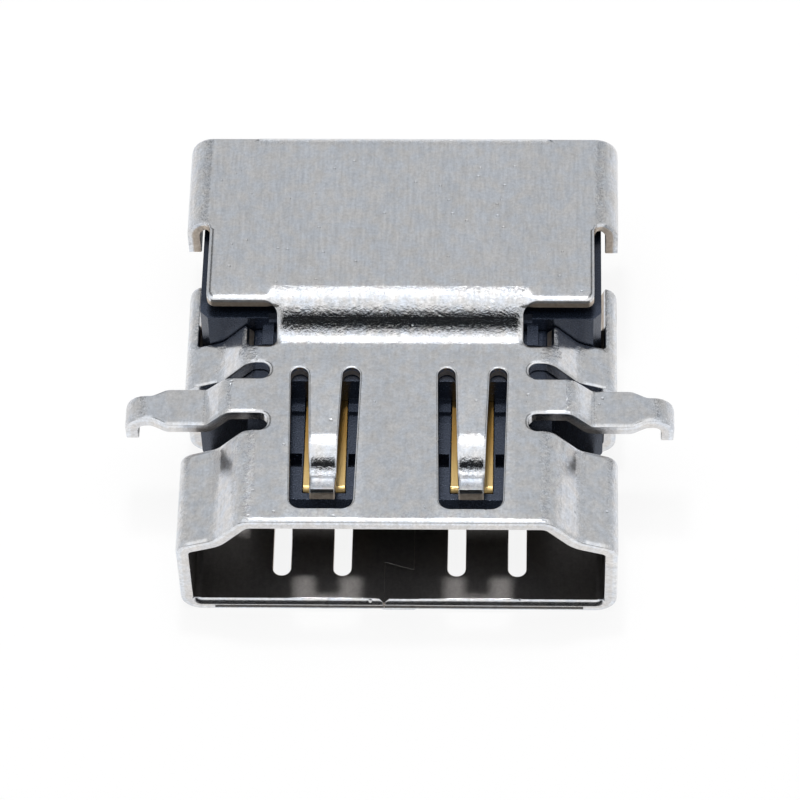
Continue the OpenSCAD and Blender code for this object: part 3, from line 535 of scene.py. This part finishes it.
def shell_mesh():
    """The blank as a solid sheet with rolled edges, then folded: place = mid sheet + height * normal.

    A cut's normal leans from the sheet's normal to the direction out of the sheet, square to the edge.
    """
    loops = [edge_samples(points, radii, 0.0, EDGE_STEP) for points, radii in BLANK_LOOPS]
    base = np.concatenate([samples for samples, _ in loops])
    deep = np.concatenate([edge_samples(points, radii, EDGE_ROLL, EDGE_STEP, counts)[0]
                           for (points, radii), (_, counts) in zip(BLANK_LOOPS, loops)])
    inward = (deep - base) / EDGE_ROLL
    along = np.concatenate([np.roll(samples, -1, 0) - np.roll(samples, 1, 0) for samples, _ in loops])
    square_in = np.stack([-along[:, 1], along[:, 0]], 1) / np.linalg.norm(along, axis=1)[:, None]
    loop = np.repeat(np.arange(len(loops)), [len(samples) for samples, _ in loops])
    mouth = base[:, 1] < 1e-6
    on_floor = smooth_step(np.abs(base[:, 0]), MOUTH_LINE.start[7] - 0.2, FLOOR_TURN_S)
    edge = edge_rows(mouth * on_floor, roll_share(base, loop))
    rows = [base + e[:, None] * inward for e, _, _ in edge]
    ring = len(base)
    splits = np.cumsum([len(samples) for samples, _ in loops])[:-1]

    lattice = blank_lattice()
    top_places, top_tris = fill(np.split(rows[0], splits), lattice)
    low_places, low_tris = fill(np.split(rows[-1], splits), lattice)
    rim = len(rows) * ring
    top_tris = np.where(top_tris < ring, top_tris, top_tris - ring + rim)
    low_tris = np.where(low_tris < ring, low_tris + rim - ring, low_tris - ring + rim + len(top_places))

    start = np.arange(ring)
    end = np.concatenate([np.roll(part, -1) for part in np.split(start, splits)])
    quads = np.concatenate([np.stack([start, start + ring, end + ring, end], 1) + r * ring
                            for r in range(len(rows) - 1)])

    def over_all(on_rows, on_top, on_low):
        return np.concatenate(on_rows + [np.full(len(top_places), on_top), np.full(len(low_places), on_low)])

    places = np.concatenate(rows + [top_places, low_places])
    height = over_all([h for _, h, _ in edge], SHEET_T / 2, -SHEET_T / 2)
    lean = over_all([np.full(ring, a) for _, _, a in edge], 0.0, math.pi)[:, None]
    cut = over_all([np.full(ring, i / (len(rows) - 1)) for i in range(len(rows))], 0.0, 1.0)
    bare = over_all([np.where(mouth, MOUTH_BARE, np.array(BARE_SHARES)[loop])] * len(rows), 0.0, 0.0)
    mid, normal, bend = fold(places[:, 0], places[:, 1])
    ways_in = np.concatenate([np.tile(square_in, (len(rows), 1)), 0 * top_places, 0 * low_places])
    further_in = places + LOOK_IN * ways_in
    outward = mid - fold(further_in[:, 0], further_in[:, 1])[0]
    outward /= np.linalg.norm(outward, axis=1)[:, None] + 1e-12
    co = mid + height[:, None] * normal
    co[:, 1] += MOUTH_Y
    values = {"cut": cut, "bare": bare, "bend": -bend}
    return co, np.cos(lean) * normal + np.sin(lean) * outward, top_tris, low_tris, quads, places, values


def mesh_from(name, co, normals, polygons, uv, values):
    """A mesh object with its place in its mesh, from corner arrays of triangles and quads."""
    mesh = bpy.data.meshes.new(name)
    corners = np.concatenate([p.ravel() for p in polygons]).astype(np.int32)
    sizes = np.concatenate([np.full(len(p), p.shape[1]) for p in polygons]).astype(np.int32)
    mesh.vertices.add(len(co))
    mesh.vertices.foreach_set("co", (co * MM).astype(np.float32).ravel())
    mesh.loops.add(len(corners))
    mesh.loops.foreach_set("vertex_index", corners)
    mesh.polygons.add(len(sizes))
    mesh.polygons.foreach_set("loop_start", np.concatenate([[0], np.cumsum(sizes)[:-1]]).astype(np.int32))
    mesh.polygons.foreach_set("use_smooth", np.ones(len(sizes), bool))
    mesh.update(calc_edges=True)
    mesh.uv_layers.new(name="blank").data.foreach_set("uv", uv[corners].astype(np.float32).ravel())
    mesh.normals_split_custom_set_from_vertices(normals.astype(np.float32))
    for key, value in values.items():
        mesh.attributes.new(key, "FLOAT", "POINT").data.foreach_set("value", value.astype(np.float32))
    obj = bpy.data.objects.new(name, mesh)
    bpy.context.scene.collection.objects.link(obj)
    return obj


# Materials

class Shade:
    """One output of a shader node, which takes part in sums like a number."""

    def __init__(self, tree, socket=None):
        self.tree, self.socket = tree, socket

    def make(self, kind, settings, sockets, out=0):
        """Adds a node, gives it its settings, then fills its sockets with values or other outputs."""
        node = self.tree.nodes.new(kind)
        for key, value in settings.items():
            setattr(node, key, value)
        for key, value in sockets.items():
            if isinstance(value, Shade):
                self.tree.links.new(value.socket, node.inputs[key])
            else:
                node.inputs[key].default_value = value
        return Shade(self.tree, node.outputs[out] if node.outputs else None)

    def maths(self, operation, a, b=0.0):
        return self.make("ShaderNodeMath", {"operation": operation}, {0: a, 1: b})

    def __add__(self, other):
        return self.maths("ADD", self, other)

    def __radd__(self, other):
        return self.maths("ADD", other, self)

    def __sub__(self, other):
        return self.maths("SUBTRACT", self, other)

    def __rsub__(self, other):
        return self.maths("SUBTRACT", other, self)

    def __mul__(self, other):
        return self.maths("MULTIPLY", self, other)

    def __rmul__(self, other):
        return self.maths("MULTIPLY", other, self)

    def at_most(self, high):
        return self.maths("MINIMUM", self, high)

    def step(self, low, high):
        """0 below low, 1 above high, smooth between them."""
        return self.make("ShaderNodeMapRange", {"interpolation_type": "SMOOTHSTEP"},
                         {0: self, 1: low, 2: high, 3: 0.0, 4: 1.0})

    def stretch(self, x, y, z):
        return self.make("ShaderNodeVectorMath", {"operation": "MULTIPLY"}, {0: self, 1: (x, y, z)})

    def noise(self, scale, detail=2.0, rough=0.5):
        return self.make("ShaderNodeTexNoise", {}, {"Vector": self, "Scale": scale, "Detail": detail,
                                                    "Roughness": rough})

    def cells(self, scale):
        """Distance from the middle of the nearest random cell."""
        return self.make("ShaderNodeTexVoronoi", {}, {"Vector": self, "Scale": scale})

    def mix(self, a, b):
        """Colour a where this is 0, colour b where it is 1."""
        return self.make("ShaderNodeMix", {"data_type": "RGBA"}, {0: self, 6: a, 7: b}, 2)

    def bump(self, distance):
        """A normal bent by this height, times a distance in millimetres."""
        return self.make("ShaderNodeBump", {}, {"Height": self, "Strength": 1.0, "Distance": distance * MM})


def new_material(name):
    """An empty material, and a start from which its nodes are made."""
    material = bpy.data.materials.new(name)
    material.use_nodes = True
    material.node_tree.nodes.clear()
    return material, Shade(material.node_tree)


def finish_surface(start, surface):
    start.make("ShaderNodeOutputMaterial", {}, {"Surface": surface})


def object_mm(start):
    """Object coordinates in millimetres."""
    return start.make("ShaderNodeTexCoord", {}, {}, 3).stretch(1 / MM, 1 / MM, 1 / MM)


def sheet_metal():
    """Plated sheet: grain along the blank, peel on the outer bends, a sheared and a torn zone on the cuts.

    The value cut runs from 0 on the outer face over the edge to 1 on the inner face, which is rougher and
    darkened by painted shade.
    """
    material, start = new_material("plated_sheet")
    blank = start.make("ShaderNodeUVMap", {"uv_map": "blank"}, {}).stretch(UV_SPAN, UV_SPAN, 0)
    place = object_mm(start)
    cut, bend, bare = [start.make("ShaderNodeAttribute", {"attribute_name": name}, {}, "Fac")
                       for name in ("cut", "bend", "bare")]
    torn = cut.step(0.5, 0.54) * (1 - cut.step(0.72, 0.9)) * bare
    sheared = cut.step(0.42, 0.45) * (1 - cut.step(0.62, 0.64)) * bare
    inner = cut.step(0.98, 1.0)
    streaked = start.make("ShaderNodeSeparateXYZ", {}, {0: blank}, 1).step(8.5, 10)
    grain = blank.stretch(1, 0.12, 1).noise(9, 3)
    speckle = place.noise(11, 3, 0.65)
    mottle = place.noise(4.5, 3, 0.6)
    cloud = blank.stretch(1, 0.4, 1).noise(0.5, 2)
    hue = place.noise(2.2, 3)
    scuff = place.noise(6, 3, 0.7).step(0.4, 0.75)
    pit = (1 - blank.cells(1.9).step(0.03, 0.13)) * blank.noise(1.3).step(0.44, 0.52) * (1 - inner)
    bent = (bend * bend).step(0.2, 1.2) * (1 - cut.step(0.3, 0.5))
    tone = 0.85 + (0.18 + 0.18 * streaked) * (grain - 0.5) + 0.4 * (speckle - 0.5) \
        + (0.38 - 0.18 * streaked) * (mottle - 0.5) + 0.14 * (cloud - 0.5)
    # Painted shade: the inner face reflects only about a fifth as much, which darkens the inside of the mouth
    tone = tone.at_most(1.0) * (1 - 0.78 * inner) * (1 - sheared * (0.04 + 0.34 * scuff))
    plate = hue.step(0.3, 0.7).mix((0.915, 0.912, 0.915, 1), (0.865, 0.91, 0.98, 1))
    plate = inner.mix(plate, (0.95, 0.9, 0.87, 1))
    colour = tone.mix((0, 0, 0, 1), plate)
    colour = torn.mix(colour, place.noise(7, 3).mix((0.38, 0.3, 0.23, 1), (0.78, 0.71, 0.63, 1)))
    roughness = 0.16 + 0.1 * (speckle - 0.5) + 0.24 * torn + 0.04 * sheared + 0.28 * inner
    peel = place.noise(9, 3, 0.65)
    height = (speckle - 0.5) * 0.1 + (peel - 0.5) * (0.08 + bent * 3.0 + torn) - pit * 1.5
    height = height * (1 - 0.8 * inner)
    finish_surface(start, start.make("ShaderNodeBsdfPrincipled", {}, {
        "Base Color": colour, "Metallic": 1.0, "Roughness": roughness, "Normal": height.bump(0.01)}))
    return material


def black_moulding():
    """Glass-filled black resin with a faint blue sheen."""
    material, start = new_material("black_moulding")
    place = object_mm(start)
    fibre = place.stretch(1, 0.3, 1).noise(6, 3)
    grain = place.noise(22, 2)
    colour = (0.5 * fibre + 0.5 * grain).mix((0.005, 0.008, 0.014, 1), (0.01, 0.014, 0.024, 1))
    roughness = 0.28 + 0.12 * (grain - 0.5)
    height = (grain - 0.5) * 0.5 + (fibre - 0.5) * 0.5
    finish_surface(start, start.make("ShaderNodeBsdfPrincipled", {}, {
        "Base Color": colour, "Roughness": roughness, "Specular IOR Level": 1.0,
        "Specular Tint": (0.65, 0.75, 1, 1), "Normal": height.bump(0.006)}))
    return material


def gold_plate():
    """Thin gold over spring metal, with a drawn grain, painted highlight that brightens it near the mouth,
    and painted shade that darkens the lower row under the tongue.
    """
    material, start = new_material("gold_plate")
    place = object_mm(start)
    grain = place.stretch(1, 0.08, 1).noise(14, 3)
    fine = place.noise(20, 2)
    depth, height = [start.make("ShaderNodeSeparateXYZ", {}, {0: place}, axis) for axis in (1, 2)]
    # Painted highlight and shade: the gold is lightest near the mouth and darker towards the rear, standing
    # in for the light it reflects
    painted_shade_to_rear = (depth + 0.6 * grain).step(MOUTH_Y + 2.6, MOUTH_Y + 5.2)
    gold_lit_near_mouth = painted_shade_to_rear.mix((0.68, 0.49, 0.215, 1), (0.39, 0.23, 0.066, 1))
    # Painted shade: contacts low in the tongue, the lower row, are darkened to a brown-black
    colour = height.step(2.4, 3.0).mix((0.1, 0.06, 0.022, 1), gold_lit_near_mouth)
    roughness = 0.3 + 0.14 * (fine - 0.5)
    drawn = (grain - 0.5) * 0.6
    finish_surface(start, start.make("ShaderNodeBsdfPrincipled", {}, {
        "Base Color": colour, "Metallic": 1.0, "Roughness": roughness, "Normal": drawn.bump(0.006)}))
    return material


def build_shell():
    """The folded sheet, which stands for the shell of the solids."""
    co, normals, top_tris, low_tris, quads, places, values = shell_mesh()
    obj = mesh_from("folded_shell", co, normals, [top_tris, low_tris[:, ::-1], quads], places / UV_SPAN,
                    values)
    obj.data.materials.append(sheet_metal())
    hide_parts("shell")
    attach(obj, "root")


HOUSING_ROUND, SMALL_ROUND = 0.03, 0.02


def dress_nodes():
    """Small rounds on the edges of the moulding and the contacts, and their materials."""
    moulding, gold = black_moulding(), gold_plate()
    for name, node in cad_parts.items():
        if name == "shell":
            continue
        node.data.materials.clear()
        node.data.materials.append(moulding if name in ("housing", "tail_spacer") else gold)
        weld = node.modifiers.new("weld", "WELD")
        weld.merge_threshold = 1e-6
        flat = node.modifiers.new("flat", "DECIMATE")
        flat.decimate_type = "DISSOLVE"
        flat.angle_limit = math.radians(1)
        rounding = node.modifiers.new("rounding", "BEVEL")
        rounding.width = (HOUSING_ROUND if name == "housing" else SMALL_ROUND) * MM
        rounding.segments = 2
        rounding.limit_method = "ANGLE"
        rounding.angle_limit = math.radians(30)


# Camera and studio

UPWARDS, REARWARDS, CARD_LEAN = (0, 0, 1), (0, 1, 0), (0, -0.87, -0.5)
GREY, DARK = (0.58, 0.583, 0.587), (0.014, 0.015, 0.016)
SHADE_Z = 8
# Shades over the flat faces: name, left, right, front and rear, shifted back since the key lamp stands behind
SHADES = [("cover", -6.9, 6.9, 9.35, 15.5), ("top_middle", -1.25, 1.25, 0.8, 7.7),
          ("top_left", -4.9, -3.75, 0.8, 7.7), ("top_right", 3.75, 4.9, 0.8, 7.7),
          ("top_rear", -4.9, 4.9, 6.85, 7.7), ("wing_left", -9.2, -6.3, 4.9, 6.7),
          ("wing_right", 6.3, 9.2, 4.9, 6.7)]


def aim_camera():
    """Camera at the photograph's angle: a long lens, looking down on the mouth from just right of it."""
    azimuth, elevation, roll = math.radians(3.155), math.radians(54.9751), math.radians(2.3274)
    distance, focal_px, image_px = 149.3938, 4414.53, 800
    target = Vector((0.0568, 4.9513 + MOUTH_Y, TUBE_H)) * MM
    back = Vector((math.sin(azimuth) * math.cos(elevation), -math.cos(azimuth) * math.cos(elevation),
                   math.sin(elevation)))
    right = Vector((math.cos(azimuth), math.sin(azimuth), 0))
    up = back.cross(right)
    x = right * math.cos(roll) - up * math.sin(roll)
    y = right * math.sin(roll) + up * math.cos(roll)
    data = bpy.data.cameras.new("camera")
    data.sensor_width = 36
    data.lens = focal_px / image_px * data.sensor_width
    data.clip_start = 0.001
    camera = bpy.data.objects.new("camera", data)
    turn = Matrix((x, y, back)).transposed().to_4x4()
    camera.matrix_world = Matrix.Translation(target + back * distance * MM) @ turn
    bpy.context.scene.collection.objects.link(camera)
    bpy.context.scene.camera = camera


def as_seen(start):
    """1 for rays from the camera and for rays that metal or glass sends on, else 0."""
    kinds = [start.make("ShaderNodeLightPath", {}, {}, name) for name in
             ("Is Camera Ray", "Is Glossy Ray", "Is Transmission Ray")]
    return (kinds[0] + kinds[1] + kinds[2]).at_most(1.0)


def one_sided(start, surface):
    """Shows a surface from its front and nothing from behind."""
    clear = start.make("ShaderNodeBsdfTransparent", {}, {})
    behind = start.make("ShaderNodeNewGeometry", {}, {}, "Backfacing")
    return start.make("ShaderNodeMixShader", {}, {0: behind, 1: surface, 2: clear})


def stage_plane(name, centre, normal, width, height):
    """A flat card of the studio, facing along a normal, sizes in millimetres."""
    n = Vector(normal).normalized()
    across = Vector((0, 0, 1)).cross(n)
    across = across.normalized() if across.length > 1e-6 else Vector((1, 0, 0))
    up = n.cross(across)
    c = Vector(centre) * MM
    a, b = across * width / 2 * MM, up * height / 2 * MM
    mesh = bpy.data.meshes.new(name)
    mesh.from_pydata([c - a - b, c + a - b, c + a + b, c - a + b], [], [(0, 1, 2, 3)])
    card = bpy.data.objects.new(name, mesh)
    bpy.context.scene.collection.objects.link(card)
    return card


def reflected_card(name, centre, normal, width, height, colour, fade=None):
    """A card that only shows in reflections, from its front, and may fade to white between two heights."""
    card = stage_plane(name, centre, normal, width, height)
    card.visible_camera = card.visible_diffuse = card.visible_shadow = card.visible_transmission = False
    material, start = new_material(name)
    colour = (*colour, 1)
    if fade:
        up = start.make("ShaderNodeSeparateXYZ", {}, {0: object_mm(start)}, 2)
        colour = up.step(*fade).mix(colour, (1, 1, 1, 1))
    glow = start.make("ShaderNodeEmission", {}, {"Color": colour, "Strength": 1.0})
    finish_surface(start, one_sided(start, glow))
    card.data.materials.append(material)


def shade_card(name, left, right, front, rear):
    """A card over the shell that never shows and only keeps the lamps' light off a flat face."""
    centre = ((left + right) / 2, MOUTH_Y + (front + rear) / 2, SHADE_Z)
    card = stage_plane(name, centre, UPWARDS, right - left, rear - front)
    card.visible_camera = card.visible_diffuse = card.visible_glossy = card.visible_transmission = False


def disk_lamp(name, place, width, energy):
    """A round lamp that points straight down, place and width in millimetres."""
    lamp = bpy.data.lights.new(name, "AREA")
    lamp.shape, lamp.size, lamp.energy = "DISK", width * MM, energy
    obj = bpy.data.objects.new(name, lamp)
    obj.location = Vector(place) * MM
    bpy.context.scene.collection.objects.link(obj)
    return obj


def build_world():
    """White surroundings, dimmed for the light that they give."""
    scene = bpy.context.scene
    scene.view_settings.view_transform = "Standard"
    world = bpy.data.worlds.new("studio")
    scene.world = world
    world.use_nodes = True
    world.node_tree.nodes.clear()
    start = Shade(world.node_tree)
    level = 0.25 + 0.75 * as_seen(start)
    sky = start.make("ShaderNodeBackground", {}, {"Color": (1, 1, 1, 1), "Strength": level})
    start.make("ShaderNodeOutputWorld", {}, {"Surface": sky})


def build_floor():
    """A white floor that takes a faint shadow, just under the part and clear from below."""
    floor = stage_plane("floor", (0, 0, -0.02), UPWARDS, 3000, 3000)
    material, start = new_material("white_floor")
    paper = start.make("ShaderNodeBsdfDiffuse", {}, {"Color": (0.92, 0.92, 0.92, 1)})
    glow = start.make("ShaderNodeEmission", {}, {"Color": (1, 1, 1, 1), "Strength": 1.0})
    white = start.make("ShaderNodeMixShader", {}, {0: 0.88 * as_seen(start), 1: paper, 2: glow})
    finish_surface(start, one_sided(start, white))
    floor.data.materials.append(material)


def light_studio():
    """A wide soft lamp, a small key lamp, large cards for the metal to mirror, and shades on its flats."""
    disk_lamp("soft_lamp", (0, 0, 150), 120, 0.15).visible_glossy = False
    disk_lamp("key_lamp", (-4, 30, 150), 14, 0.075)

    reflected_card("grey_card", (0, 110, 115), CARD_LEAN, 700, 265, GREY, (150, 228))
    reflected_card("light_card", (0, -40, 235), (0, 0, -1), 300, 170, (1, 1, 1))
    reflected_card("front_card", (0, -110, 55), REARWARDS, 230, 110, GREY)
    for side in (-1, 1):
        reflected_card(f"side_card_{side}", (side * 34, 14, 0.5), UPWARDS, 44, 50, (0.83, 0.82, 0.82))
        reflected_card(f"wall_card_{side}", (side * 110, 0, 55), (-side, 0, 0), 220, 110, (0.56, 0.56, 0.56))
        reflected_card(f"edge_flag_{side}", (side * 62, 108, 114), CARD_LEAN, 30, 265, (0.12, 0.12, 0.12))

    for name, left, right, front, rear in SHADES:
        shade_card(f"shade_{name}", left, right, front, rear)


def set_flags():
    """Small dark cards near the mouth, the lip, the bridge and the fingers, seen only in reflections, which
    paint dark reflections on parts of the bends and the lip's cut.
    """
    reflected_card("mouth_flag", (0, MOUTH_Y - 4, 3.9), REARWARDS, 18, 5, DARK)
    # Painted shadow: a dark strip on the floor just in front of the lip, seen only in the lip's cut face
    reflected_card("lip_flag", (0, MOUTH_Y - 0.2, 0.03), UPWARDS, 12.6, 0.3, (0.1, 0.095, 0.09))
    reflected_card("bridge_flag", (0, MOUTH_Y + 6.77, 6.35), REARWARDS, 8.8, 1.7, DARK)
    for side in (-1, 1):
        finger = side * TOP_FINGER_X
        reflected_card(f"block_flag_{side}", (side * 5.45, MOUTH_Y + 8.3, 4.9), REARWARDS, 2.6, 2.8,
                       (0.13, 0.125, 0.12))
        reflected_card(f"bend_flag_{side}", (finger, MOUTH_Y + 1.5, 6.08), REARWARDS, 1.4, 1.35, DARK)
        reflected_card(f"tip_flag_{side}", (finger, MOUTH_Y + 1.2, 5.3), REARWARDS, 1.2, 0.7, DARK)


build_shell()
dress_nodes()
aim_camera()
build_world()
build_floor()
light_studio()
set_flags()
